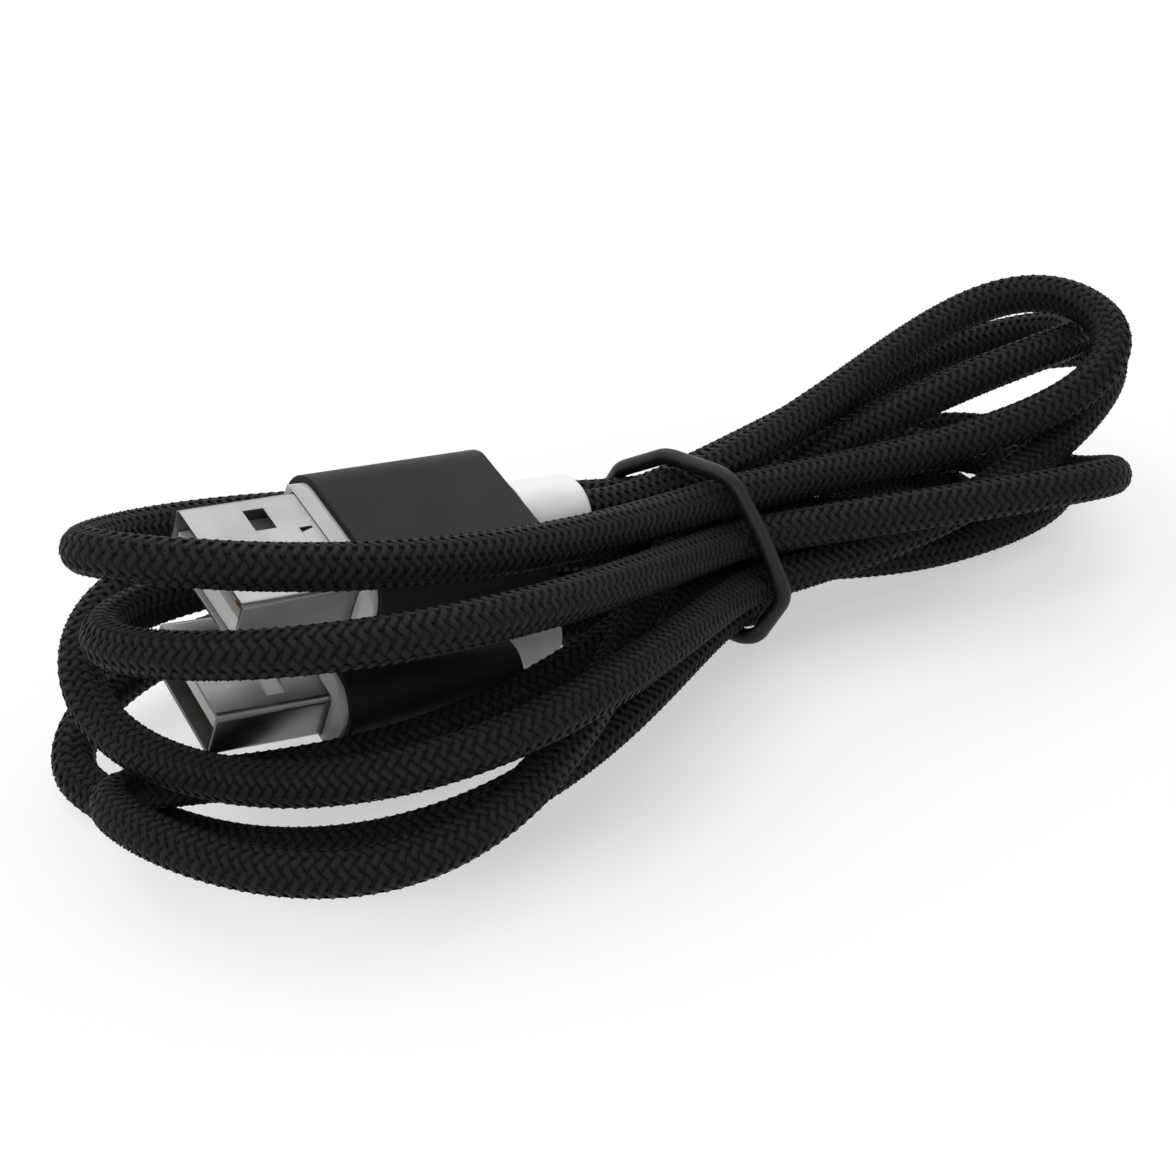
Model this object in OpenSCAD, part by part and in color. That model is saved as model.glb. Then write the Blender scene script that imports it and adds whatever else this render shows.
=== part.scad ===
// Braided charging cable with a flat four-contact plug at each end.
// The cord is folded into a hank, held at the waist by a rubber tie ring.
// X runs along the hank, Y across it, Z is up, and the hank lies on Z = 0.

/* [Cord] */
// Diameter over the braid
cord_d = 3.6; // [3.2:0.1:3.8]
// Diameter of the inner jacket, under the braid
jacket_d = 3.0; // [2.6:0.1:3.1]
// Diameter of each insulated conductor
wire_d = 0.9; // [0.7:0.05:1.1]

/* [Tie ring] */
// Thickness of the rubber ring
tie_d = 1.5; // [1.2:0.1:2]
// Free space between the ring and the cord inside it
tie_gap = 0.3; // [0.3:0.05:0.6]

/* [Plug shell] */
// Width of the steel shell
shell_w = 12; // [11.6:0.1:12.4]
// Height of the steel shell
shell_h = 4.5; // [4.3:0.1:4.8]
// Thickness of the sheet
sheet_t = 0.3; // [0.25:0.05:0.4]
// Outer radius of the folded corners
shell_r = 0.6; // [0.5:0.1:0.9]
// Length of shell that stands clear of the collar
shell_reach = 10.4; // [9.8:0.1:11]
// Length of shell held inside the moulding
shell_grip = 8.3; // [7.5:0.1:9]
// Length of each window along the plug
window_l = 1.9; // [1.5:0.1:2.2]
// Width of each window across the plug
window_w = 2.5; // [2:0.1:2.8]
// From the mouth to the near edge of a window
window_at = 5.1; // [4.6:0.1:5.4]
// From the plug's centre line to the middle of a window
window_off = 3.2; // [3:0.1:3.6]

/* [Tongue and contacts] */
// Thickness of the insulating tongue
tongue_t = 1.84; // [1.7:0.02:1.9]
// How far the tongue's end sits back from the mouth
tongue_back = 0.5; // [0.3:0.1:0.9]
// Width of a contact blade
blade_w = 1; // [0.8:0.05:1.1]
// Thickness of a contact blade
blade_t = 0.25; // [0.2:0.05:0.3]
// From the centre line to an inner contact
inner_pitch = 1; // [0.95:0.05:1.1]
// From the centre line to an outer contact
outer_pitch = 3.5; // [3.3:0.1:3.8]
// From the mouth to the end of an outer contact
outer_back = 1.2; // [1:0.1:1.5]
// How much further back the inner contacts end
inner_step = 1; // [0.8:0.1:1.2]

/* [Housing] */
// Width of the aluminium sleeve
sleeve_w = 16.5; // [16:0.1:17.5]
// Height of the aluminium sleeve
sleeve_h = 7.5; // [7.2:0.1:8]
// Length of the aluminium sleeve
sleeve_l = 17.3; // [16.5:0.1:19]
// Wall of the aluminium sleeve
sleeve_t = 0.6; // [0.5:0.05:0.7]
// Chamfer on the sleeve's two rims
rim_cut = 0.15; // [0.1:0.05:0.25]
// How far the white collar stands out in front of the sleeve
collar_lip = 1.1; // [0.8:0.1:1.5]
// Rounding of the collar's front edge
collar_r = 0.8; // [0.5:0.1:1]

/* [Strain relief] */
// Largest diameter of the boot
boot_d = 7.5; // [7:0.1:8]
// Diameter of the boot at its free end
boot_end_d = 7.2; // [6.4:0.1:7.4]
// Length of boot behind the sleeve
boot_l = 7.2; // [6:0.1:9]
// Rounding of the boot's free end
boot_r = 0.9; // [0.5:0.1:1.2]

/* [Hidden] */
$fn = 48;

// Clearance between pieces that fit into each other
fit_gap = 0.05;
// Extra reach of a cutting shape past the face it cuts
past = 1;
// Small enough to count as nothing in a comparison
tiny = 0.001;

// Shell, collar, sleeve and boot, counted along the plug from its mouth
shell_l = shell_reach + shell_grip;
inner_w = shell_w - 2 * sheet_t;
inner_h = shell_h - 2 * sheet_t;
sleeve_at = shell_reach + collar_lip;
sleeve_end = sleeve_at + sleeve_l;
boot_end = sleeve_end + boot_l;
collar_w = sleeve_w - 2 * (sleeve_t + fit_gap);
collar_h = sleeve_h - 2 * (sleeve_t + fit_gap);
// Flat left between the rounded short sides of the sleeve
side_flat = 0.3;

// Pressed tab that locks the insulator in the shell
tab_at = 8.8;
tab_l = 1.2;
tab_w = 2.3;
tab_off = 0.4;
tab_slot = 0.22;
// Seam where the folded sheet meets
seam_w = 0.14;
seam_depth = 0.15;
seam_key_at = [3.2, 7.4];
seam_key_l = 1.2;
seam_key_w = 1.1;

// Tongue with its base, and the carrier block behind it
tongue_w = inner_w - 2 * fit_gap;
tongue_z = -inner_h / 2 + fit_gap;
tongue_top = tongue_z + tongue_t;
base_at = shell_reach + 0.8;
base_l = 4;
carrier_at = base_at + base_l + fit_gap;
comb_l = 2.3;
comb_end = shell_l + comb_l;
comb_rib = 0.5;
comb_rib_h = 0.9;
blade_proud = 0.05;
blade_gap = 0.02;
blade_z = tongue_top + blade_proud - blade_t;
blade_end = comb_end - 0.3;
pitches = [-outer_pitch, -inner_pitch, inner_pitch, outer_pitch];

// Conductors: bare core on the blade, then insulation that fans in to the jacket
core_d = 0.5;
core_at = shell_l + 0.5;
bare_l = 1.5;
insulation_at = core_at + bare_l;
fan_l = 6;
jacket_at = insulation_at + fan_l;
wire_z = blade_z + blade_t + blade_gap + core_d / 2;
quad = wire_d / 2 + 0.07;
quad_places = [[-quad, -quad], [-quad, quad], [quad, quad], [quad, -quad]];
solder_d = 0.95;
solder_l = 1.1;
solder_at = core_at + 0.2;

// Ferrule on the jacket, inside the boot's anchor
ferrule_t = 0.4;
ferrule_l = 3.4;
ferrule_at = jacket_at + 0.4;
ferrule_end = ferrule_at + ferrule_l;
ferrule_d = jacket_d + 2 * (fit_gap + ferrule_t);
ferrule_slot = 0.4;
anchor_d = 4.9;
flange_d = 5.5;
flange_t = 0.9;
flange_at = sleeve_end - 2.6;
flange_end = flange_at + flange_t;
chamber_w = 9.8;
chamber_h = 3.8;

// ---------- shared shapes ----------

// Rectangle with round corners, centred
module rounded_rect(w, h, r) {
    square([w - 2 * r, h], center = true);
    square([w, h - 2 * r], center = true);
    for (x = [-1, 1], y = [-1, 1])
        translate([x * (w / 2 - r), y * (h / 2 - r)])
            circle(r);
}

// Bar of that section, lying along X from 0 to l
module rounded_bar(w, h, r, l) {
    rotate([90, 0, 90])
        linear_extrude(l)
            rounded_rect(w, h, r);
}

// Side view of a bar whose front and rear edges are cut back
module eased_outline(l, h, front, rear) {
    polygon([
        [0, -h / 2 + front], [front, -h / 2], [l - rear, -h / 2], [l, -h / 2 + rear],
        [l, h / 2 - rear], [l - rear, h / 2], [front, h / 2], [0, h / 2 - front]
    ]);
}

// Bar with both rims chamfered all round
module eased_bar(w, h, r, l, front, rear) {
    intersection() {
        rounded_bar(w, h, r, l);
        translate([0, 0, -h])
            linear_extrude(2 * h)
                eased_outline(l, w, front, rear);
        translate([0, w, 0])
            rotate([90, 0, 0])
                linear_extrude(2 * w)
                    eased_outline(l, h, front, rear);
    }
}

// Round rod from point p to point q
module rod(p, q, d) {
    v = q - p;
    translate(p)
        rotate([0, acos(v.z / norm(v)), atan2(v.y, v.x)])
            cylinder(h = norm(v), d = d);
}

// Round body along X, from its half outline of [distance along X, radius]
module turned_along_x(outline) {
    rotate([0, 90, 0])
        rotate_extrude()
            polygon([for (p = outline) [p[1], p[0]]]);
}

// ---------- plug pieces, mouth at X = 0, tongue on the -Z side ----------

// Narrow outline of one dovetail key in the seam
module seam_key(at, grow) {
    polygon([
        [at - grow, -grow], [at - seam_w - grow, seam_key_w + grow],
        [at + seam_key_l + seam_w + grow, seam_key_w + grow], [at + seam_key_l + grow, -grow]
    ]);
}

module seam() {
    translate([0, 0, -shell_h / 2 - past])
        linear_extrude(past + seam_depth) {
            translate([-past, -seam_w / 2])
                square([shell_l + 2 * past, seam_w]);
            for (at = seam_key_at)
                difference() {
                    seam_key(at, seam_w / 2);
                    seam_key(at, -seam_w / 2);
                }
        }
}

module lock_tab_slot() {
    translate([tab_at, tab_off - tab_w / 2, inner_h / 2 - past])
        difference() {
            cube([tab_l, tab_w, shell_h]);
            translate([tab_slot, tab_slot, -past])
                cube([tab_l + past, tab_w - 2 * tab_slot, shell_h + 2 * past]);
        }
}

module shell() {
    color("silver")
        difference() {
            rounded_bar(shell_w, shell_h, shell_r, shell_l);
            translate([-past, 0, 0])
                rounded_bar(inner_w, inner_h, shell_r - sheet_t, shell_l + 2 * past);
            for (y = [-window_off, window_off])
                translate([window_at, y - window_w / 2, -shell_h])
                    cube([window_l, window_w, 2 * shell_h]);
            lock_tab_slot();
            seam();
        }
}

// The four blades, grown by a clearance where they are cut from their carriers
module blades(grow) {
    for (y = pitches) {
        front = outer_back + (abs(y) < outer_pitch - tiny ? inner_step : 0);
        translate([front - grow, y - blade_w / 2 - grow, blade_z - grow])
            cube([blade_end - front + 2 * grow, blade_w + 2 * grow, blade_t + 2 * grow]);
    }
}

module contacts() {
    color("gold")
        blades(0);
}

module tongue() {
    color("white")
        difference() {
            union() {
                translate([tongue_back, -tongue_w / 2, tongue_z])
                    cube([base_at - tongue_back, tongue_w, tongue_t]);
                translate([base_at, -tongue_w / 2, tongue_z])
                    cube([base_l, tongue_w, inner_h - 2 * fit_gap]);
            }
            blades(blade_gap);
        }
}

module carrier() {
    color("ivory")
        difference() {
            union() {
                translate([carrier_at, -tongue_w / 2, tongue_z])
                    cube([shell_l - carrier_at, tongue_w, inner_h - 2 * fit_gap]);
                translate([shell_l - past, -chamber_w / 2 + fit_gap, tongue_z])
                    cube([comb_l + past, chamber_w - 2 * fit_gap, blade_z - tongue_z]);
                for (y = [-1, 0, 1])
                    translate([shell_l - past, y * (inner_pitch + outer_pitch) / 2 - comb_rib / 2, tongue_z])
                        cube([comb_l + past, comb_rib, blade_z - tongue_z + comb_rib_h]);
            }
            blades(blade_gap);
        }
}

module wires() {
    wire_colours = ["red", "white", "green", "black"];
    for (i = [0:3]) {
        from = [insulation_at, pitches[i], wire_z];
        to = [jacket_at, quad_places[i][0], quad_places[i][1]];
        over = past * (to - from) / norm(to - from);
        color(wire_colours[i]) {
            rod([core_at, pitches[i], wire_z], from + [tiny, 0, 0], core_d);
            intersection() {
                rod(from - over, to + over, wire_d);
                translate([insulation_at, -inner_w / 2, -inner_h / 2])
                    cube([jacket_at - insulation_at, inner_w, inner_h]);
            }
        }
    }
}

module solder() {
    color("lightgray")
        for (y = pitches)
            difference() {
                rod([solder_at, y, wire_z], [solder_at + solder_l, y, wire_z], solder_d);
                rod([core_at - past, y, wire_z], [insulation_at + past, y, wire_z], core_d + 2 * fit_gap);
                translate([core_at - past, y - solder_d, blade_z + blade_t - solder_d])
                    cube([bare_l + 2 * past, 2 * solder_d, solder_d]);
            }
}

module jacket() {
    color("dimgray")
        rod([jacket_at, 0, 0], [boot_end, 0, 0], jacket_d);
}

module ferrule() {
    color("gray")
        difference() {
            rod([ferrule_at, 0, 0], [ferrule_end, 0, 0], ferrule_d);
            rod([ferrule_at - past, 0, 0], [ferrule_end + past, 0, 0], jacket_d + 2 * fit_gap);
            translate([ferrule_at - past, -ferrule_slot / 2, 0])
                cube([ferrule_l + 2 * past, ferrule_slot, ferrule_d]);
        }
}

// White moulding that fills the sleeve and shows as a collar round the shell
module collar() {
    collar_round = (collar_h - side_flat) / 2;
    color("whitesmoke")
        difference() {
            translate([shell_reach, 0, 0])
                eased_bar(collar_w, collar_h, collar_round, sleeve_end - shell_reach, collar_r, 0);
            rounded_bar(shell_w + 2 * fit_gap, shell_h + 2 * fit_gap, shell_r, shell_l + fit_gap);
            translate([shell_l, -chamber_w / 2, -chamber_h / 2])
                cube([flange_at - shell_l, chamber_w, chamber_h]);
            rod([flange_at - fit_gap, 0, 0], [flange_end + fit_gap, 0, 0], flange_d + 2 * fit_gap);
            rod([flange_at, 0, 0], [sleeve_end + past, 0, 0], anchor_d + 2 * fit_gap);
        }
}

module sleeve() {
    outer_round = (sleeve_h - side_flat) / 2;
    color("#3c3d40")
        translate([sleeve_at, 0, 0])
            difference() {
                eased_bar(sleeve_w, sleeve_h, outer_round, sleeve_l, rim_cut, rim_cut);
                translate([-past, 0, 0])
                    rounded_bar(
                        sleeve_w - 2 * sleeve_t, sleeve_h - 2 * sleeve_t,
                        outer_round - sleeve_t, sleeve_l + 2 * past
                    );
            }
}

module boot() {
    round_steps = 6;
    end_r = boot_end_d / 2 - boot_r;
    rounding = [
        for (i = [0:round_steps])
            let (a = 90 * i / round_steps)
            [boot_end - boot_r + boot_r * sin(a), end_r + boot_r * cos(a)]
    ];
    ferrule_r = ferrule_d / 2 + fit_gap;
    jacket_r = jacket_d / 2 + fit_gap;
    color("whitesmoke")
        turned_along_x(concat(
            [
                [flange_at, ferrule_r], [flange_at, flange_d / 2],
                [flange_end, flange_d / 2], [flange_end, anchor_d / 2],
                [sleeve_end, anchor_d / 2], [sleeve_end, boot_d / 2]
            ],
            rounding,
            [[boot_end, jacket_r], [ferrule_end, jacket_r], [ferrule_end, ferrule_r]]
        ));
}

// ---------- where the plugs lie ----------

// Middle of the hank's outline seen from above, moved onto the origin
hank_mid = [-6, -3.07, 0];
// Mouth of each plug, and its turn about X, Y and Z
plug_a_at = [-52.03, -5.94, 23.6];
plug_a_turn = [14.4, 10.6, 7.8];
plug_b_at = [-53.52, -1.56, 10.6];
plug_b_turn = [-166.9, 11.4, 5.4];

module at_plug_a() {
    translate(plug_a_at - hank_mid)
        rotate(plug_a_turn)
            children();
}

module at_plug_b() {
    translate(plug_b_at - hank_mid)
        rotate(plug_b_turn)
            children();
}

// Direction in which a turned plug sends its cord
function heading(turn) = [cos(turn.y) * cos(turn.z), cos(turn.y) * sin(turn.z), -sin(turn.y)];

// ---------- the waist, a leaning plane in which the tie ring lies ----------

waist_yaw = 27;
waist_lean = 6;
waist_mid = [-4.3, 0.4, 9.8];
waist_across = [-sin(waist_yaw), cos(waist_yaw), 0];
waist_up = [-sin(waist_lean) * cos(waist_yaw), -sin(waist_lean) * sin(waist_yaw), cos(waist_lean)];

// Each pass of the cord through the waist, as [across, up], from plug A to plug B
passes = [
    [0.8, 5.8], [-3.4, 5.8], [4.6, 3.4], [2.4, -1.2], [-5.6, 2], [7.2, -1.2],
    [-7.4, -2.2], [5.6, -5.2], [-5.4, -6], [-1, 2], [-2.6, -2.2], [0.6, -5.2]
];

// ---------- the loops between the passes ----------

// Each loop: side of the waist, reach, half width, tilt of its plane,
// place of its far end across and up, then how far each half bows up and across
loops = [
    [1, 44.5, 10.5, -174, 3.5, 20.5, -1.5, -4, -1.5, 7.5],
    [-1, 60.5, 7.5, -24, -4, 27.5, 1.5, 0.5, -6, 2],
    [1, 47, 8, 161, 10.5, 15, 0.5, 0.5, 0, 5],
    [-1, 60.5, 8.5, 163, -6.5, 20.5, 2, 5.5, -0.5, -9.5],
    [1, 39, 9.5, -29, -5.5, 8, -1.5, 3.5, 2, 4.5],
    [-1, 61, 11.5, -158, 0.5, 11, -0.5, 9, -1, -13.5],
    [1, 50.5, 9.5, -24, 10.5, 12, -3.5, 0, 0.5, 6],
    [-1, 62.5, 7.5, -161, 2.5, 2, -1, 3.5, 4, -14],
    [1, 31.5, 8.5, 146, 6.5, 1, -5, -2.5, 1.5, 2],
    [-1, 62.5, 9.5, -14, -10, 7, -2, 0.5, -14, -13.5],
    [1, 44.5, 9.5, -14, 8.5, 1.5, -4.5, 2, 2.5, 3.5]
];
loop_rings = 24;
lead_rings = 9;
cord_sides = 6;
// Loops leave the waist along X (lower is blunter) and slow down at their far ends
loop_blunt = 0.8;
loop_ease = 0.12;
// The cord is pressed flat where it lies, so its middle is never lower than this
cord_rest = cord_d / 2 - cord_d / 10;

function unit(v) = v / norm(v);
function mix(a, b, k) = a + (b - a) * k;
function lying(p) = [p.x, p.y, max(p.z, cord_rest)];
function waist_at(i) = waist_mid + passes[i][0] * waist_across + passes[i][1] * waist_up;

// Point of loop i, with t from -1 at one pass through 0 at the far end to 1 at the next
function loop_point(i, t) =
    let (
        l = loops[i],
        turn = 90 * (t + loop_ease * sin(180 * t)),
        c = cos(turn),
        s = sin(turn),
        base = mix(waist_at(i), waist_at(i + 1), (1 + s) / 2),
        side = 2 * l[2] * c * s,
        bow = 4 * c * (1 - c),
        up = s < 0 ? l[6] : l[7],
        across = s < 0 ? l[8] : l[9]
    )
    lying([
        base.x + (l[0] * l[1] - base.x) * pow(c, loop_blunt),
        mix(base.y, l[4], c) + side * cos(l[3]) + bow * across,
        mix(base.z, l[5], c) + side * sin(l[3]) + bow * up
    ]);

// Point of a lead, from a boot's end at k = 0 to pass i at k = 1
function lead_point(from, along, i, k) =
    let (
        to = waist_at(i),
        pull = norm(to - from)
    )
    (1 + 2 * k) * pow(1 - k, 2) * from + k * pow(1 - k, 2) * pull * along
    + k * k * (3 - 2 * k) * to + k * k * (k - 1) * pull * [1, 0, 0];

function lead(at, turn, i) =
    let (
        along = heading(turn),
        exit = at + along * boot_end,
        start = exit + along * cord_d
    )
    concat([exit], [for (k = [0:lead_rings - 1]) lying(lead_point(start, along, i, k / lead_rings))]);

function reversed(list) = [for (i = [len(list) - 1:-1:0]) list[i]];

route = concat(
    lead(plug_a_at, plug_a_turn, 0),
    [for (i = [0:len(loops) - 1], j = [0:loop_rings - 1]) loop_point(i, 2 * j / loop_rings - 1)],
    [lying(waist_at(len(loops)))],
    reversed(lead(plug_b_at, plug_b_turn, len(loops)))
);

// The cord's middle line at closer points, on which its least gap to itself is measured
gap_steps = 6;
// Points nearer to each other than this along the cord belong to one bend
same_bend = 4 * cord_d;
fine_route = [
    for (i = [0:len(route) - 2], k = [0:gap_steps - 1]) mix(route[i], route[i + 1], k / gap_steps)
];

// Length of the line from its start to each of its points
function lengths(p) = [
    for (i = 0, run = 0; i < len(p); i = i + 1, run = run + (i < len(p) ? norm(p[i] - p[i - 1]) : 0)) run
];

function least_gap(p) =
    let (run = lengths(p))
    min([
        for (i = [0:len(p) - 2], j = [i + 1:len(p) - 1])
            if (run[j] - run[i] > same_bend)
                norm(p[i] - p[j])
    ]) - cord_d;

module cord_hank() {
    count = len(route);
    last = count - 1;
    corners = [
        for (i = [0:last])
            let (
                along = unit(route[min(i + 1, last)] - route[max(i - 1, 0)]),
                level = unit(cross([0, 0, 1], along)),
                rise = cross(along, level)
            )
            for (k = [0:cord_sides - 1])
                let (
                    a = 360 * k / cord_sides,
                    p = route[i] - hank_mid + cord_d / 2 * (cos(a) * level + sin(a) * rise)
                )
                [p.x, p.y, max(p.z, 0)]
    ];
    skin = [
        for (i = [0:last - 1], k = [0:cord_sides - 1])
            let (
                n = (k + 1) % cord_sides,
                a = i * cord_sides + k,
                b = i * cord_sides + n,
                c = (i + 1) * cord_sides + n,
                d = (i + 1) * cord_sides + k
            )
            each [[a, c, b], [a, d, c]]
    ];
    near_end = [for (k = [1:cord_sides - 2]) [0, k, k + 1]];
    tail = last * cord_sides;
    far_end = [for (k = [1:cord_sides - 2]) [tail, tail + k + 1, tail + k]];
    echo(least_gap = least_gap(fine_route), cord_length = lengths(route)[last], rings = count);
    color("#232325")
        polyhedron(corners, concat(skin, near_end, far_end));
}

// ---------- the rubber ring round the waist ----------

ring_rings = 48;
ring_sides = 8;
ring_r = cord_d / 2 / cos(waist_yaw) + tie_gap + tie_d / 2;

// Point of the ring's middle line farthest out in direction a, in the waist plane
function ring_point(a) =
    let (
        out = [cos(a), sin(a)],
        reach = [for (pass = passes) pass * out],
        corner = passes[search(max(reach), reach)[0]]
    )
    corner + ring_r * out;

module tie_ring() {
    middle = [for (i = [0:ring_rings - 1]) ring_point(360 * i / ring_rings)];
    corners = [
        for (i = [0:ring_rings - 1])
            let (
                ahead = unit(middle[(i + 1) % ring_rings] - middle[(i + ring_rings - 1) % ring_rings]),
                out = [ahead.y, -ahead.x]
            )
            for (k = [0:ring_sides - 1])
                let (
                    a = 360 * (k + 0.5) / ring_sides,
                    flat = middle[i] + tie_d / 2 * cos(a) * out
                )
                waist_mid - hank_mid + flat.x * waist_across + flat.y * waist_up
                + tie_d / 2 * sin(a) * cross(waist_across, waist_up)
    ];
    skin = [
        for (i = [0:ring_rings - 1], k = [0:ring_sides - 1])
            let (
                m = (i + 1) % ring_rings,
                n = (k + 1) % ring_sides,
                a = i * ring_sides + k,
                b = i * ring_sides + n,
                c = m * ring_sides + n,
                d = m * ring_sides + k
            )
            each [[a, b, c], [a, c, d]]
    ];
    color("#1c1c1e")
        polyhedron(corners, skin);
}

// ---------- the pieces of each plug, where they lie ----------

module plug_a_shell() {
    at_plug_a()
        shell();
}

module plug_a_tongue() {
    at_plug_a()
        tongue();
}

module plug_a_contacts() {
    at_plug_a()
        contacts();
}

module plug_a_carrier() {
    at_plug_a()
        carrier();
}

module plug_a_solder() {
    at_plug_a()
        solder();
}

module plug_a_wires() {
    at_plug_a()
        wires();
}

module plug_a_jacket() {
    at_plug_a()
        jacket();
}

module plug_a_ferrule() {
    at_plug_a()
        ferrule();
}

module plug_a_collar() {
    at_plug_a()
        collar();
}

module plug_a_sleeve() {
    at_plug_a()
        sleeve();
}

module plug_a_boot() {
    at_plug_a()
        boot();
}

module plug_b_shell() {
    at_plug_b()
        shell();
}

module plug_b_tongue() {
    at_plug_b()
        tongue();
}

module plug_b_contacts() {
    at_plug_b()
        contacts();
}

module plug_b_carrier() {
    at_plug_b()
        carrier();
}

module plug_b_solder() {
    at_plug_b()
        solder();
}

module plug_b_wires() {
    at_plug_b()
        wires();
}

module plug_b_jacket() {
    at_plug_b()
        jacket();
}

module plug_b_ferrule() {
    at_plug_b()
        ferrule();
}

module plug_b_collar() {
    at_plug_b()
        collar();
}

module plug_b_sleeve() {
    at_plug_b()
        sleeve();
}

module plug_b_boot() {
    at_plug_b()
        boot();
}

cord_hank();
tie_ring();
plug_a_shell();
plug_a_tongue();
plug_a_contacts();
plug_a_carrier();
plug_a_solder();
plug_a_wires();
plug_a_jacket();
plug_a_ferrule();
plug_a_collar();
plug_a_sleeve();
plug_a_boot();
plug_b_shell();
plug_b_tongue();
plug_b_contacts();
plug_b_carrier();
plug_b_solder();
plug_b_wires();
plug_b_jacket();
plug_b_ferrule();
plug_b_collar();
plug_b_sleeve();
plug_b_boot();
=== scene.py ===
import math

import bmesh
import bpy
from mathutils import Euler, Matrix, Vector


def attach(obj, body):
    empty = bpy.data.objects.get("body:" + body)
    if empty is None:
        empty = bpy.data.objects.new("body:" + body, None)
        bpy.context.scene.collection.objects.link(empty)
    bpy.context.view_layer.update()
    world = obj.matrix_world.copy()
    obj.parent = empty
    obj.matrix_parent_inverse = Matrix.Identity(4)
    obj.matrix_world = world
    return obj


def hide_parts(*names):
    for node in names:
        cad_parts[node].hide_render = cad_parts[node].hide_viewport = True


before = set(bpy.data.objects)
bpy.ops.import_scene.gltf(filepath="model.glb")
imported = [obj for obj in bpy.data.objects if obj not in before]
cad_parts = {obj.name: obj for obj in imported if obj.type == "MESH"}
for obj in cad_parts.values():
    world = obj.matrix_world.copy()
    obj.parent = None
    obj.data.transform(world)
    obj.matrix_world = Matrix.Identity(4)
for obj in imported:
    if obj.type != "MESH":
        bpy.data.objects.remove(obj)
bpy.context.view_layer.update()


# ---------- Camera ----------
# It looks down across the hank from the side of the plugs, square to nothing, so that the top of the
# upper plug, the long sides of the loops and the tie ring all show.

camera_data = bpy.data.cameras.new("camera")
camera_data.sensor_fit = "HORIZONTAL"
camera_data.sensor_width = 36
camera_data.lens = 67.35
camera_data.clip_start = 0.01
camera = bpy.data.objects.new("camera", camera_data)
camera.location = (-0.08764, -0.14534, 0.117)
camera.rotation_euler = (math.radians(57), 0, math.radians(-28))
bpy.context.scene.collection.objects.link(camera)
bpy.context.scene.camera = camera


# ---------- Cord ----------
# One length of round cord in a polyester braid, from plug to plug. It is folded into eleven flat
# loops, six towards the free end and five towards the plugs, all pinched together at the waist.

# The route is reckoned in millimetres, from the ground under the waist, and moved by hank_mid
mm = 0.001
cord_d = 3.6
hank_mid = Vector((-6, -3.07, 0))
waist_yaw = math.radians(27)
waist_lean = math.radians(6)
waist_mid = Vector((-4.3, 0.4, 9.8))
waist_across = Vector((-math.sin(waist_yaw), math.cos(waist_yaw), 0))
waist_up = Vector((-math.sin(waist_lean) * math.cos(waist_yaw),
                   -math.sin(waist_lean) * math.sin(waist_yaw), math.cos(waist_lean)))
# Each pass of the cord through the waist, across and up, from plug A to plug B
passes = [(0.8, 5.8), (-3.4, 5.8), (4.6, 3.4), (2.4, -1.2), (-5.6, 2), (7.2, -1.2),
          (-7.4, -2.2), (5.6, -5.2), (-5.4, -6), (-1, 2), (-2.6, -2.2), (0.6, -5.2)]
# Each loop: side, reach, half width, tilt, far end across and up, bow up and bow across of each half
loops = [(1, 44.5, 10.5, -174, 3.5, 20.5, -1.5, -4, -1.5, 7.5),
         (-1, 60.5, 7.5, -24, -4, 27.5, 1.5, 0.5, -6, 2),
         (1, 47, 8, 161, 10.5, 15, 0.5, 0.5, 0, 5),
         (-1, 60.5, 8.5, 163, -6.5, 20.5, 2, 5.5, -0.5, -9.5),
         (1, 39, 9.5, -29, -5.5, 8, -1.5, 3.5, 2, 4.5),
         (-1, 61, 11.5, -158, 0.5, 11, -0.5, 9, -1, -13.5),
         (1, 50.5, 9.5, -24, 10.5, 12, -3.5, 0, 0.5, 6),
         (-1, 62.5, 7.5, -161, 2.5, 2, -1, 3.5, 4, -14),
         (1, 31.5, 8.5, 146, 6.5, 1, -5, -2.5, 1.5, 2),
         (-1, 62.5, 9.5, -14, -10, 7, -2, 0.5, -14, -13.5),
         (1, 44.5, 9.5, -14, 8.5, 1.5, -4.5, 2, 2.5, 3.5)]
loop_steps = 96
loop_ease = 0.12
loop_blunt = 0.8
lead_steps = 36
# Along a plug from its mouth to the end of its boot, and how deep the braid is held in the boot
boot_end = 36
tucked_in = 0.8
# Free height of a lying cord's middle over its radius, and how softly the cord comes down to it
lying_rise = 0.14
landing = 0.25
plug_mouth = {"a": Vector((-52.03, -5.94, 23.6)), "b": Vector((-53.52, -1.56, 10.6))}
plug_turn = {"a": (14.4, 10.6, 7.8), "b": (-166.9, 11.4, 5.4)}


def turned(plug):
    return Euler([math.radians(angle) for angle in plug_turn[plug]]).to_matrix()


def waist_at(i):
    return waist_mid + passes[i][0] * waist_across + passes[i][1] * waist_up


def loop_point(i, along):
    """Point of a loop, from -1 at one pass through 0 at the far end to 1 at the next pass."""
    side, reach, half, tilt, end_y, end_z, up_in, up_out, across_in, across_out = loops[i]
    turn = math.radians(90 * (along + loop_ease * math.sin(math.pi * along)))
    out, over = max(math.cos(turn), 0), math.sin(turn)
    base = waist_at(i).lerp(waist_at(i + 1), (1 + over) / 2)
    swing, bow = 2 * half * out * over, 4 * out * (1 - out)
    up, across = (up_in, across_in) if over < 0 else (up_out, across_out)
    tilt = math.radians(tilt)
    return Vector((base.x + (side * reach - base.x) * out ** loop_blunt,
                   base.y + (end_y - base.y) * out + swing * math.cos(tilt) + bow * across,
                   base.z + (end_z - base.z) * out + swing * math.sin(tilt) + bow * up))


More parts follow.
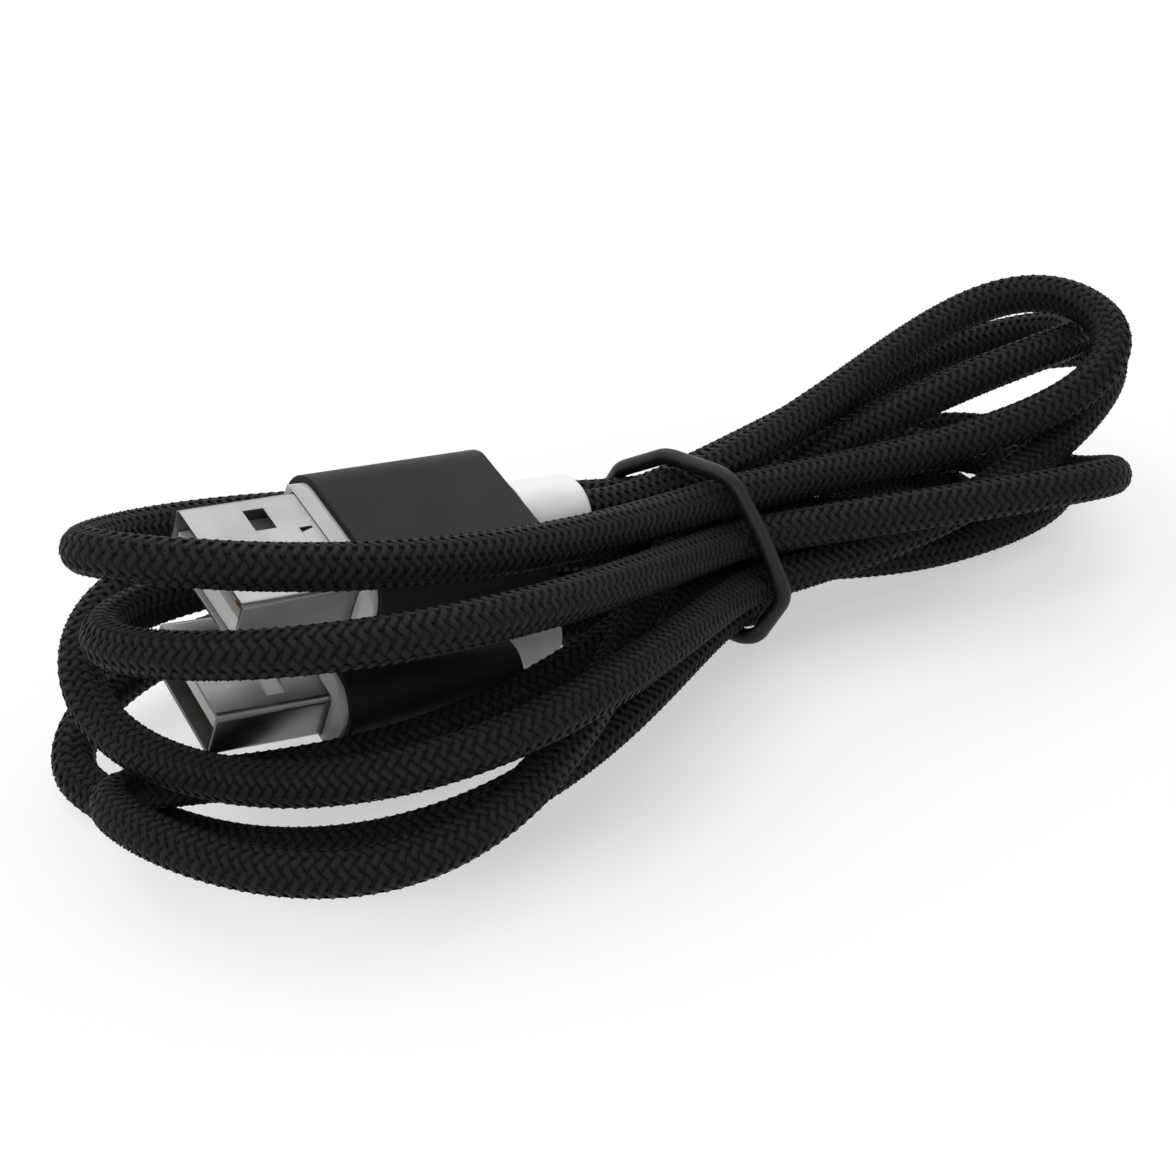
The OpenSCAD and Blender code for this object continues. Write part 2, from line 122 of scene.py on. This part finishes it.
def lead_points(plug, i):
    """The cord from inside a plug's boot, straight for one diameter, then curving in to a pass."""
    along = turned(plug) @ Vector((1, 0, 0))
    leaves = plug_mouth[plug] + along * boot_end
    start, end = leaves + along * cord_d, waist_at(i)
    pull = (end - start).length
    points = [leaves - along * tucked_in, leaves]
    for step in range(lead_steps):
        k = step / lead_steps
        points.append((1 + 2 * k) * (1 - k) ** 2 * start + k * (1 - k) ** 2 * pull * along
                      + k * k * (3 - 2 * k) * end + k * k * (k - 1) * pull * Vector((1, 0, 0)))
    return points


def laid_down(p):
    """No point of the cord's middle lies lower than a cord that rests on the ground."""
    rest = cord_d / 2 + lying_rise
    over = p.z - rest
    return Vector((p.x, p.y, rest + (over + math.sqrt(over * over + landing)) / 2))


line = lead_points("a", 0)
for i in range(len(loops)):
    line += [loop_point(i, 2 * step / loop_steps - 1) for step in range(loop_steps)]
line += [waist_at(len(loops))] + lead_points("b", len(loops))[::-1]
line = [(laid_down(p) - hank_mid) * mm for p in line]

cord_curve = bpy.data.curves.new("cord_line", "CURVE")
cord_curve.dimensions = "3D"
spline = cord_curve.splines.new("POLY")
spline.points.add(len(line) - 1)
for point, p in zip(spline.points, line):
    point.co = (*p, 1)
cord_line = bpy.data.objects.new("cord_line", cord_curve)
bpy.context.scene.collection.objects.link(cord_line)


def add_node(tree, kind, inputs=None, **settings):
    """A node whose inputs take values, or the outputs of other nodes."""
    node = tree.nodes.new(kind)
    for name, value in settings.items():
        setattr(node, name, value)
    for key, value in (inputs or {}).items():
        if isinstance(value, bpy.types.NodeSocket):
            tree.links.new(value, node.inputs[key])
        else:
            node.inputs[key].default_value = value
    return node


def combine(tree, a, b, operation="ADD"):
    return add_node(tree, "ShaderNodeMath", {0: a, 1: b}, operation=operation).outputs[0]


def stretched(tree, place, stretch):
    return add_node(tree, "ShaderNodeVectorMath", {0: place, 1: stretch}, operation="MULTIPLY").outputs[0]


def new_finish(name, **sockets):
    """A finish whose even values sit on the shader itself."""
    finish = bpy.data.materials.new(name)
    finish.use_nodes = True
    shader = finish.node_tree.nodes["Principled BSDF"]
    for socket, value in sockets.items():
        shader.inputs[socket.replace("_", " ")].default_value = value
    return finish, finish.node_tree, shader


def speckle(tree, place, scale, detail):
    noise = add_node(tree, "ShaderNodeTexNoise", {"Vector": place, "Scale": scale, "Detail": detail})
    return noise.outputs["Fac"]


def mottle(tree, socket, amount, dark, light, start=0.3, end=0.7):
    """Runs a socket of a shader from a dark to a light shade, or value, with the amount."""
    ramp = add_node(tree, "ShaderNodeValToRGB", {0: amount})
    for stop, position, shade in zip(ramp.color_ramp.elements, (start, end), (dark, light)):
        stop.position = position
        stop.color = (*shade, 1) if isinstance(shade, tuple) else (shade, shade, shade, 1)
    tree.links.new(ramp.outputs["Color"], socket)


def roughen(tree, shader, height, strength, distance):
    """Fine relief on the surface, too small to model."""
    bump = add_node(tree, "ShaderNodeBump", {"Height": height, "Strength": strength, "Distance": distance})
    tree.links.new(bump.outputs[0], shader.inputs["Normal"])


# Spun polyester: every float of the braid is a flat ribbon of fine filaments
filament_count = 22.0
filament_fuzz = 0.8
tint_share = 0.25
braid_finish, tree, shader = new_finish("braid", Specular_IOR_Level=0.06)
weave = add_node(tree, "ShaderNodeAttribute", attribute_name="weave")
tint = add_node(tree, "ShaderNodeAttribute", attribute_name="tint")
axes = add_node(tree, "ShaderNodeSeparateXYZ", {0: weave.outputs["Vector"]}).outputs
# Painted shade: the base colour is darkest on the jacket and at each float's foot, in the crevices between
# floats,
# and it also differs at random from float to float
shade = combine(tree, axes["Z"], combine(tree, tint.outputs["Fac"], tint_share, "MULTIPLY"))
mottle(tree, shader.inputs["Base Color"], shade, 0.0115, (0.0155, 0.0155, 0.0158), 0.2, 1.0)
mottle(tree, shader.inputs["Roughness"], axes["Z"], 0.56, 0.44, 0.5, 1.0)
filaments = combine(tree, combine(tree, axes["Y"], filament_count, "MULTIPLY"), 0.0, "SINE")
fuzz = speckle(tree, add_node(tree, "ShaderNodeTexCoord").outputs["Object"], 9000.0, 2.0)
relief = combine(tree, filaments, combine(tree, fuzz, filament_fuzz, "MULTIPLY"))
roughen(tree, shader, relief, 0.35, 0.00002)

# Braiding machine: twelve ribbons side by side round the cord, leaning by turns left and right
braid_sizes = {"Core radius": 1.81, "Crown radius": 1.86, "Pitch": 0.95, "Float length": 1.32,
               "Float width": 1.02, "Float height": 0.1, "Lean": 50.0, "Turns per metre": 3.0}
braid_counts = {"Columns": 12, "Seed": 5}
braid_tree = bpy.data.node_groups.new("braid", "GeometryNodeTree")
face = braid_tree.interface
face.new_socket("Geometry", in_out="INPUT", socket_type="NodeSocketGeometry")
for name in braid_sizes:
    face.new_socket(name, in_out="INPUT", socket_type="NodeSocketFloat")
for name in braid_counts:
    face.new_socket(name, in_out="INPUT", socket_type="NodeSocketInt")
face.new_socket("Finish", in_out="INPUT", socket_type="NodeSocketMaterial")
face.new_socket("Geometry", in_out="OUTPUT", socket_type="NodeSocketGeometry")
given = add_node(braid_tree, "NodeGroupInput").outputs


def times(a, b):
    return combine(braid_tree, a, b, "MULTIPLY")


def in_metres(name):
    return times(given[name], mm)


def position_axes():
    position = add_node(braid_tree, "GeometryNodeInputPosition").outputs[0]
    return add_node(braid_tree, "ShaderNodeSeparateXYZ", {0: position}).outputs


def vector_of(x, y, z):
    return add_node(braid_tree, "ShaderNodeCombineXYZ", {0: x, 1: y, 2: z}).outputs[0]


def scaled(direction, length):
    return add_node(braid_tree, "ShaderNodeVectorMath",
                    {0: direction, "Scale": length}, operation="SCALE").outputs[0]


# The jacket that the ribbons cover
core_step = 2 * mm
core_sides = 10
core_line = add_node(braid_tree, "GeometryNodeResampleCurve",
                     {"Curve": given["Geometry"], "Length": core_step}, mode="LENGTH")
core_ring = add_node(braid_tree, "GeometryNodeCurvePrimitiveCircle",
                     {"Resolution": core_sides, "Radius": in_metres("Core radius")})
core = add_node(braid_tree, "GeometryNodeCurveToMesh",
                {"Curve": core_line.outputs[0], "Profile Curve": core_ring.outputs[0], "Fill Caps": True})
# One ribbon's float: a low pillow that rises to a ridge half as long as the float
ridge_share = 0.5
ridge_weld = 0.01 * mm
block = add_node(braid_tree, "GeometryNodeMeshCube", {"Size": vector_of(
    in_metres("Float length"), in_metres("Float width"), in_metres("Float height"))})
corner = position_axes()
is_top = combine(braid_tree, corner["Z"], 0.0, "GREATER_THAN")
shorter = combine(braid_tree, times(is_top, ridge_share - 1), 1.0)
is_low = combine(braid_tree, is_top, 1.0, "LESS_THAN")
half_height = times(in_metres("Float height"), 0.5)
pillow = add_node(braid_tree, "GeometryNodeSetPosition", {
    "Geometry": block.outputs["Mesh"],
    "Position": vector_of(times(corner["X"], shorter), times(corner["Y"], is_low),
                          combine(braid_tree, corner["Z"], half_height, "SUBTRACT"))})
ridged = add_node(braid_tree, "GeometryNodeMergeByDistance",
                  {"Geometry": pillow.outputs[0], "Distance": ridge_weld})
# Place on the float, along and across it and from 0 at its foot to 1 at its ridge, for the finish and its
# painted shade
corner = position_axes()
share = [combine(braid_tree, corner[axis], in_metres("Float " + size), "DIVIDE")
         for axis, size in (("X", "length"), ("Y", "width"), ("Z", "height"))]
marked = add_node(braid_tree, "GeometryNodeStoreNamedAttribute", {
    "Geometry": ridged.outputs[0], "Name": "weave",
    "Value": vector_of(share[0], share[1], combine(braid_tree, share[2], 1.0))},
    data_type="FLOAT_VECTOR", domain="POINT")
ribbon = add_node(braid_tree, "GeometryNodeSetShadeSmooth", {"Geometry": marked.outputs[0]})
# Stations along the cord, then one point for each ribbon round it
stations = add_node(braid_tree, "GeometryNodeCurveToPoints",
                    {"Curve": given["Geometry"], "Length": in_metres("Pitch")}, mode="LENGTH")
tangent = stations.outputs["Tangent"]
numbered = add_node(braid_tree, "GeometryNodeCaptureAttribute",
                    {"Geometry": stations.outputs["Points"]}, domain="POINT")
numbered.capture_items.new("INT", "Station")
braid_tree.links.new(add_node(braid_tree, "GeometryNodeInputIndex").outputs[0], numbered.inputs["Station"])
spread = add_node(braid_tree, "GeometryNodeDuplicateElements",
                  {"Geometry": numbered.outputs["Geometry"], "Amount": given["Columns"]}, domain="POINT")
column = spread.outputs["Duplicate Index"]
full_turn = 2 * math.pi
wander = times(times(numbered.outputs["Station"], in_metres("Pitch")),
               times(given["Turns per metre"], full_turn))
around = combine(braid_tree, times(column, full_turn), given["Columns"], "DIVIDE")
turn_round = add_node(braid_tree, "FunctionNodeAxisAngleToRotation",
                      {"Axis": tangent, "Angle": combine(braid_tree, around, wander)})
outward = add_node(braid_tree, "FunctionNodeRotateVector",
                   {"Vector": stations.outputs["Normal"], "Rotation": turn_round.outputs[0]}).outputs[0]
# Every other column starts half a pitch later and leans to the other hand
is_left = combine(braid_tree, column, 2.0, "MODULO")
shift = add_node(braid_tree, "ShaderNodeVectorMath", {
    0: scaled(outward, in_metres("Crown radius")),
    1: scaled(tangent, times(times(is_left, 0.5), in_metres("Pitch")))}, operation="ADD")
on_cord = add_node(braid_tree, "GeometryNodeSetPosition",
                   {"Geometry": spread.outputs["Geometry"], "Offset": shift.outputs[0]})
facing = add_node(braid_tree, "FunctionNodeAxesToRotation",
                  {"Primary Axis": outward, "Secondary Axis": tangent}, primary_axis="Z", secondary_axis="X")
hand = combine(braid_tree, times(is_left, 2.0), 1.0, "SUBTRACT")
lean = times(times(given["Lean"], math.pi / 180), hand)
lean_turn = add_node(braid_tree, "FunctionNodeAxisAngleToRotation", {"Axis": (0, 0, 1), "Angle": lean})
leaning = add_node(braid_tree, "FunctionNodeRotateRotation",
                   {"Rotation": facing.outputs[0], "Rotate By": lean_turn.outputs[0]}, rotation_space="LOCAL")
dye = add_node(braid_tree, "FunctionNodeRandomValue",
               {"Min": 0.0, "Max": 1.0, "Seed": given["Seed"]}, data_type="FLOAT")
tinted = add_node(braid_tree, "GeometryNodeStoreNamedAttribute",
                  {"Geometry": on_cord.outputs[0], "Name": "tint",
                   "Value": next(output for output in dye.outputs if output.type == "VALUE")},
                  data_type="FLOAT", domain="POINT")
ribbons = add_node(braid_tree, "GeometryNodeInstanceOnPoints", {
    "Points": tinted.outputs[0], "Instance": ribbon.outputs[0], "Rotation": leaning.outputs[0]})
both = add_node(braid_tree, "GeometryNodeJoinGeometry")
for layer in (core, ribbons):
    braid_tree.links.new(layer.outputs[0], both.inputs[0])
whole = add_node(braid_tree, "GeometryNodeRealizeInstances", {"Geometry": both.outputs[0]})
covered = add_node(braid_tree, "GeometryNodeSetMaterial",
                   {"Geometry": whole.outputs[0], "Material": given["Finish"]})
braid_tree.links.new(covered.outputs[0], add_node(braid_tree, "NodeGroupOutput").inputs[0])


def as_plain_mesh(source, name):
    """The mesh that a piece's modifiers make of it."""
    depsgraph = bpy.context.evaluated_depsgraph_get()
    mesh = bpy.data.meshes.new_from_object(source.evaluated_get(depsgraph), depsgraph=depsgraph)
    mesh.name = name
    return mesh


def run_nodes(source, group, name, inputs):
    """Runs a node group on an object and keeps its result as a plain mesh piece."""
    modifier = source.modifiers.new(name, "NODES")
    modifier.node_group = group
    sockets = {item.name: item.identifier for item in group.interface.items_tree if item.in_out == "INPUT"}
    for key, value in inputs.items():
        modifier[sockets[key]] = value
    bpy.context.view_layer.update()
    piece = bpy.data.objects.new(name, as_plain_mesh(source, name))
    source.modifiers.remove(modifier)
    bpy.data.objects.remove(source)
    bpy.context.scene.collection.objects.link(piece)
    return piece


cord = run_nodes(cord_line, braid_tree, "braided_cord",
                 {**braid_sizes, **braid_counts, "Finish": braid_finish})
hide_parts("cord_hank")
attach(cord, "root")


# ---------- Plug shells ----------
# Nickel-plated steel sheet folded into a flat box and closed with two dovetail keys. It has two
# windows in each broad face for the receptacle's springs, and a pressed tab that holds the insulator.

# The locking tab's hinge and free end, from the mouth, its middle across and its half width
tab_hinge = 10 * mm
tab_free = 9.02 * mm
tab_middle = 0.4 * mm
tab_half = 0.93 * mm
tab_press = 0.35 * mm
# The tab is in the broad face above this height, and its corners lie within this of their places
tab_face = 1.5 * mm
close_by = 0.02 * mm
shell_edge = 0.05
# In metres: corners that are one, corners that the tab's cut takes as on it, and its shortest edge
one_corner, on_cut, shortest_edge = 1e-7, 2e-6, 1e-6
# Faces that turn less than this are one flat, and edges that turn more than this are sharp
flat_turn, sharp_turn = math.radians(0.5), math.radians(35)


def plug_coordinates(tree, plug):
    """Coordinates along, across and through one plug, in metres from the middle of its mouth."""
    place = add_node(tree, "ShaderNodeTexCoord")
    return add_node(tree, "ShaderNodeMapping", {
        "Vector": place.outputs["Object"], "Location": (plug_mouth[plug] - hank_mid) * mm,
        "Rotation": [math.radians(angle) for angle in plug_turn[plug]]}, vector_type="TEXTURE").outputs[0]


def press_tab(work, plug):
    """Pushes the free end of the locking tab into the shell, where its slot sets it free."""
    turn = turned(plug)
    mouth = (plug_mouth[plug] - hank_mid) * mm
    bmesh.ops.bisect_plane(
        work, geom=work.verts[:] + work.edges[:] + work.faces[:], dist=on_cut,
        plane_co=mouth + turn @ Vector((tab_hinge, 0, 0)), plane_no=turn @ Vector((1, 0, 0)))
    for corner in work.verts:
        at = turn.transposed() @ (corner.co - mouth)
        across = abs(at.y - tab_middle)
        if abs(at.x - tab_free) < close_by and across < tab_half + close_by and at.z > tab_face:
            corner.co -= turn @ Vector((0, 0, tab_press))


def broken_edges(node, name, width, pressed=None):
    """The same solid with its sharp edges rounded, as tumbling or moulding leaves them."""
    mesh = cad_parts[node].data.copy()
    work = bmesh.new()
    work.from_mesh(mesh)
    bmesh.ops.remove_doubles(work, verts=work.verts, dist=one_corner)
    bmesh.ops.dissolve_limit(work, angle_limit=flat_turn, verts=work.verts, edges=work.edges)
    if pressed:
        press_tab(work, pressed)
        bmesh.ops.remove_doubles(work, verts=work.verts, dist=shortest_edge)
    work.to_mesh(mesh)
    work.free()
    mesh.materials.clear()
    mesh.shade_smooth()
    piece = bpy.data.objects.new(name, mesh)
    bpy.context.scene.collection.objects.link(piece)
    edges = piece.modifiers.new("edges", "BEVEL")
    edges.width = width * mm
    edges.segments = 2
    edges.limit_method = "ANGLE"
    edges.angle_limit = sharp_turn
    edges.use_clamp_overlap = False
    flats = piece.modifiers.new("flats", "WEIGHTED_NORMAL")
    flats.weight = 50
    piece.data = as_plain_mesh(piece, name)
    piece.modifiers.clear()
    return piece


for plug in "ab":
    steel, tree, shader = new_finish("plug_%s_steel" % plug, Metallic=1.0)
    along = plug_coordinates(tree, plug)
    grain = speckle(tree, stretched(tree, along, (160.0, 9000.0, 9000.0)), 1.0, 5.0)
    cloud = speckle(tree, along, 260.0, 4.0)
    mottle(tree, shader.inputs["Base Color"], cloud, (0.23, 0.23, 0.234), (0.3, 0.3, 0.304))
    wear = combine(tree, combine(tree, grain, 0.18, "MULTIPLY"), combine(tree, cloud, 0.14, "MULTIPLY"))
    tree.links.new(combine(tree, wear, 0.16), shader.inputs["Roughness"])
    roughen(tree, shader, grain, 0.12, 0.000015)
    shell = broken_edges("plug_%s_shell" % plug, "plug_%s_steel_shell" % plug, shell_edge, pressed=plug)
    shell.data.materials.append(steel)
    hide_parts("plug_%s_shell" % plug)
    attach(shell, "root")


# ---------- Tongues and contacts ----------
# White moulded insulator that fills the lower half of each shell, with four gold-plated blades
# pressed into grooves on its free side.

def give(node, finish):
    """A carried-over solid keeps its shape and gets this finish."""
    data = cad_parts[node].data
    data.materials.clear()
    data.materials.append(finish)


for plug in "ab":
    insulator, tree, shader = new_finish("plug_%s_insulator" % plug, Roughness=0.35)
    flow = speckle(tree, plug_coordinates(tree, plug), 420.0, 3.0)
    mottle(tree, shader.inputs["Base Color"], flow, (0.74, 0.74, 0.72), (0.82, 0.82, 0.8))
    roughen(tree, shader, flow, 0.1, 0.00003)
    give("plug_%s_tongue" % plug, insulator)

    gilt, tree, shader = new_finish("plug_%s_gilt" % plug, Metallic=1.0)
    rub = speckle(tree, stretched(tree, plug_coordinates(tree, plug), (300.0, 6000.0, 6000.0)), 1.0, 3.0)
    mottle(tree, shader.inputs["Base Color"], rub, (0.78, 0.58, 0.25), (0.9, 0.7, 0.36))
    mottle(tree, shader.inputs["Roughness"], rub, 0.2, 0.34)
    give("plug_%s_contacts" % plug, gilt)


# ---------- Inside each plug ----------
# Moulded carrier for the blades' tails, four conductors soldered to them, the cord's inner jacket
# with its shield folded back, and the plated ferrule crimped round it.

# The conductors fan in from the blades' pitch to the jacket, between these distances from the mouth
fan_from, fan_to = 20.7 * mm, 26.7 * mm
fan_wide, fan_narrow = 7 * mm, 1.2 * mm
wire_colours = ((0.0, (0.45, 0.02, 0.02)), (0.2, (0.75, 0.75, 0.72)),
                (0.5, (0.02, 0.25, 0.06)), (0.8, (0.015, 0.015, 0.015)))

for plug in "ab":
    carrier, tree, shader = new_finish("plug_%s_carrier" % plug, Roughness=0.5)
    flow = speckle(tree, plug_coordinates(tree, plug), 500.0, 3.0)
    mottle(tree, shader.inputs["Base Color"], flow, (0.7, 0.69, 0.63), (0.8, 0.79, 0.74))
    give("plug_%s_carrier" % plug, carrier)

    tin, tree, shader = new_finish("plug_%s_solder" % plug, Metallic=1.0, Roughness=0.3)
    chill = speckle(tree, plug_coordinates(tree, plug), 2500.0, 3.0)
    mottle(tree, shader.inputs["Base Color"], chill, (0.6, 0.6, 0.61), (0.8, 0.8, 0.8))
    roughen(tree, shader, chill, 0.3, 0.00005)
    give("plug_%s_solder" % plug, tin)

    insulation, tree, shader = new_finish("plug_%s_wires" % plug, Roughness=0.45)
    at = add_node(tree, "ShaderNodeSeparateXYZ", {0: plug_coordinates(tree, plug)}).outputs
    fan = add_node(tree, "ShaderNodeMapRange",
                   {"Value": at["X"], 1: fan_from, 2: fan_to, 3: fan_wide, 4: fan_narrow}).outputs[0]
    lane = combine(tree, combine(tree, at["Y"], fan, "DIVIDE"), 0.5)
    lanes = add_node(tree, "ShaderNodeValToRGB", {0: lane})
    lanes.color_ramp.interpolation = "CONSTANT"
    bands = lanes.color_ramp.elements
    bands.remove(bands[1])
    for position, colour in wire_colours:
        band = bands.new(position) if position else bands[0]
        band.color = (*colour, 1)
    tree.links.new(lanes.outputs[0], shader.inputs["Base Color"])
    give("plug_%s_wires" % plug, insulation)

    sheath, tree, shader = new_finish("plug_%s_jacket" % plug, Roughness=0.5)
    talc = speckle(tree, plug_coordinates(tree, plug), 900.0, 3.0)
    mottle(tree, shader.inputs["Base Color"], talc, 0.07, 0.13)
    give("plug_%s_jacket" % plug, sheath)

    plated, tree, shader = new_finish("plug_%s_ferrule" % plug, Metallic=1.0, Roughness=0.35)
    scuff = speckle(tree, plug_coordinates(tree, plug), 700.0, 4.0)
    mottle(tree, shader.inputs["Base Color"], scuff, (0.45, 0.45, 0.46), (0.62, 0.62, 0.63))
    give("plug_%s_ferrule" % plug, plated)


# ---------- Collars and boots ----------
# White satin mouldings. The collar fills the sleeve and shows as a crescent round the shell, and
# the boot turns the cord out of the back of the plug and ends in a rounded rim.

moulded_edge = 0.06
# The greyest and the whitest shade of each moulding, and how much less blue it has. The collar's greyer white
# is partly painted shade, from the sleeve's rim round it, and partly a greyer tone
whites_and_collar_shade = {"collar": (0.5, 0.57), "boot": (0.82, 0.88)}
less_blue = 0.985

for plug in "ab":
    for part, (dark, light) in whites_and_collar_shade.items():
        white, tree, shader = new_finish("plug_%s_%s_plastic" % (plug, part), Roughness=0.42,
                                         Subsurface_Weight=0.08, Subsurface_Scale=0.001)
        along = plug_coordinates(tree, plug)
        mottle(tree, shader.inputs["Base Color"], speckle(tree, along, 300.0, 4.0),
               (dark, dark, less_blue * dark), (light, light, less_blue * light))
        roughen(tree, shader, speckle(tree, along, 7000.0, 2.0), 0.15, 0.00002)
        piece = broken_edges("plug_%s_%s" % (plug, part), "plug_%s_white_%s" % (plug, part), moulded_edge)
        piece.data.materials.append(white)
        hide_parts("plug_%s_%s" % (plug, part))
        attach(piece, "root")


# ---------- Sleeves ----------
# Drawn aluminium tube, bead-blasted and dyed a dark charcoal, with both rims cut to a crisp
# chamfer. It is pushed over the collar and the boot.

sleeve_edge = 0.06

for plug in "ab":
    anodised, tree, shader = new_finish("plug_%s_anodised" % plug, Specular_IOR_Level=0.14)
    along = plug_coordinates(tree, plug)
    blast = speckle(tree, along, 9000.0, 2.0)
    patch = speckle(tree, along, 160.0, 4.0)
    mottle(tree, shader.inputs["Base Color"], patch, (0.007, 0.007, 0.0074), (0.01, 0.01, 0.0105))
    mottle(tree, shader.inputs["Roughness"], patch, 0.44, 0.54)
    roughen(tree, shader, blast, 0.2, 0.00003)
    sleeve = broken_edges("plug_%s_sleeve" % plug, "plug_%s_dark_sleeve" % plug, sleeve_edge)
    sleeve.data.materials.append(anodised)
    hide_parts("plug_%s_sleeve" % plug)
    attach(sleeve, "root")


# ---------- Tie ring ----------
# A moulded ring of soft black rubber, rolled over the folded cord. It lies round the outermost
# passes of the waist and bridges the hollows between them.

tie_d = 1.5
tie_gap = 0.3
ring_reach = cord_d / 2 / math.cos(waist_yaw) + tie_gap + tie_d / 2
ring_steps = 240
ring_sides = 16


def ring_point(angle):
    """Point of the ring's middle line farthest out in a direction of the waist's plane."""
    out = Vector((math.cos(angle), math.sin(angle)))
    corner = max(passes, key=lambda place: place[0] * out.x + place[1] * out.y)
    return Vector(corner) + ring_reach * out


ring_line = [ring_point(2 * math.pi * i / ring_steps) for i in range(ring_steps)]
waist_along = waist_across.cross(waist_up)
ring_corners, ring_faces = [], []
for i, p in enumerate(ring_line):
    ahead = (ring_line[(i + 1) % ring_steps] - ring_line[i - 1]).normalized()
    out = Vector((ahead.y, -ahead.x))
    for k in range(ring_sides):
        angle = 2 * math.pi * k / ring_sides
        flat = p + tie_d / 2 * math.cos(angle) * out
        ring_corners.append((waist_mid - hank_mid + flat.x * waist_across + flat.y * waist_up
                             + tie_d / 2 * math.sin(angle) * waist_along) * mm)
        this, ahead_row = i * ring_sides, (i + 1) % ring_steps * ring_sides
        beside = (k + 1) % ring_sides
        ring_faces.append((this + k, ahead_row + k, ahead_row + beside, this + beside))
ring_mesh = bpy.data.meshes.new("tie_ring_rubber")
ring_mesh.from_pydata(ring_corners, [], ring_faces)
ring_mesh.shade_smooth()
tie_ring = bpy.data.objects.new("tie_ring_rubber", ring_mesh)
bpy.context.scene.collection.objects.link(tie_ring)

rubber, tree, shader = new_finish("tie_rubber", Specular_IOR_Level=0.25)
spot = add_node(tree, "ShaderNodeTexCoord").outputs["Object"]
bloom = speckle(tree, spot, 500.0, 4.0)
mottle(tree, shader.inputs["Roughness"], bloom, 0.3, 0.5)
mottle(tree, shader.inputs["Base Color"], bloom, (0.006, 0.006, 0.0062), (0.01, 0.01, 0.0105))
roughen(tree, shader, speckle(tree, spot, 6000.0, 3.0), 0.12, 0.00003)
ring_mesh.materials.append(rubber)
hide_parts("tie_ring")
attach(tie_ring, "root")


# ---------- Floor and lights ----------
# A sheet of pale paper under a large soft lamp, with weaker lamps from the sides. Seen straight on
# or in gloss, the paper glows white away from the cord and keeps half of the cord's shadow near it.

floor_reach = 1.5
# The glow grows over an oval round the cord, from this share of itself to the whole
glow_from, glow_to = 0.034, 0.082
glow_least = 0.5
oval = (1.0, 1.7, 1.0)


def seen_by_eye(tree):
    """One where a ray comes from the eye, a mirror or glass, and nought where it carries light."""
    rays = add_node(tree, "ShaderNodeLightPath").outputs
    seen = combine(tree, rays["Is Camera Ray"], rays["Is Glossy Ray"], "MAXIMUM")
    return combine(tree, seen, rays["Is Transmission Ray"], "MAXIMUM")


floor_mesh = bpy.data.meshes.new("floor")
floor_mesh.from_pydata([(-floor_reach, -floor_reach, 0), (floor_reach, -floor_reach, 0),
                        (floor_reach, floor_reach, 0), (-floor_reach, floor_reach, 0)], [], [(0, 1, 2, 3)])
floor = bpy.data.objects.new("floor", floor_mesh)
bpy.context.scene.collection.objects.link(floor)
paper, tree, shader = new_finish("paper", Base_Color=(0.95, 0.95, 0.95, 1), Roughness=0.9,
                                 Specular_IOR_Level=0.1)
place = stretched(tree, add_node(tree, "ShaderNodeTexCoord").outputs["Object"], oval)
away = add_node(tree, "ShaderNodeVectorMath", {0: place}, operation="LENGTH")
fade = add_node(tree, "ShaderNodeMapRange", {
    "Value": away.outputs["Value"], 1: glow_from, 2: glow_to, 3: glow_least, 4: 1.0},
    interpolation_type="SMOOTHSTEP")
glow = add_node(tree, "ShaderNodeEmission", {"Color": (1, 1, 1, 1), "Strength": 1.0})
share = combine(tree, seen_by_eye(tree), fade.outputs[0], "MULTIPLY")
mixed = add_node(tree, "ShaderNodeMixShader", {0: share, 1: shader.outputs[0], 2: glow.outputs[0]})
tree.links.new(mixed.outputs[0], tree.nodes["Material Output"].inputs["Surface"])
floor_mesh.materials.append(paper)

# The room is white to the eye and lights the cord at half of that
room_light = 0.5
world = bpy.data.worlds.new("studio")
bpy.context.scene.world = world
world.use_nodes = True
tree = world.node_tree
level = add_node(tree, "ShaderNodeMapRange", {"Value": seen_by_eye(tree), 3: room_light, 4: 1.0})
background = tree.nodes["Background"]
background.inputs["Color"].default_value = (1, 1, 1, 1)
tree.links.new(level.outputs[0], background.inputs["Strength"])

# Place, side and power of each square lamp
lamps = {"top_lamp": ((0.1, 0.35, 0.85), 1.5, 7.5), "left_lamp": ((-0.5, -0.1, 0.35), 0.35, 0.4),
         "front_lamp": ((-0.3, -0.75, 0.2), 0.16, 0.7), "back_lamp": ((-0.35, 0.45, 0.85), 0.2, 0.35)}
aim = Vector((0, 0, 0.01))
for name, (place, side, power) in lamps.items():
    data = bpy.data.lights.new(name, "AREA")
    data.shape = "SQUARE"
    data.size = side
    data.energy = power
    light = bpy.data.objects.new(name, data)
    light.location = place
    light.rotation_euler = (aim - Vector(place)).to_track_quat("-Z", "Y").to_euler()
    bpy.context.scene.collection.objects.link(light)
bpy.context.scene.view_settings.view_transform = "Standard"
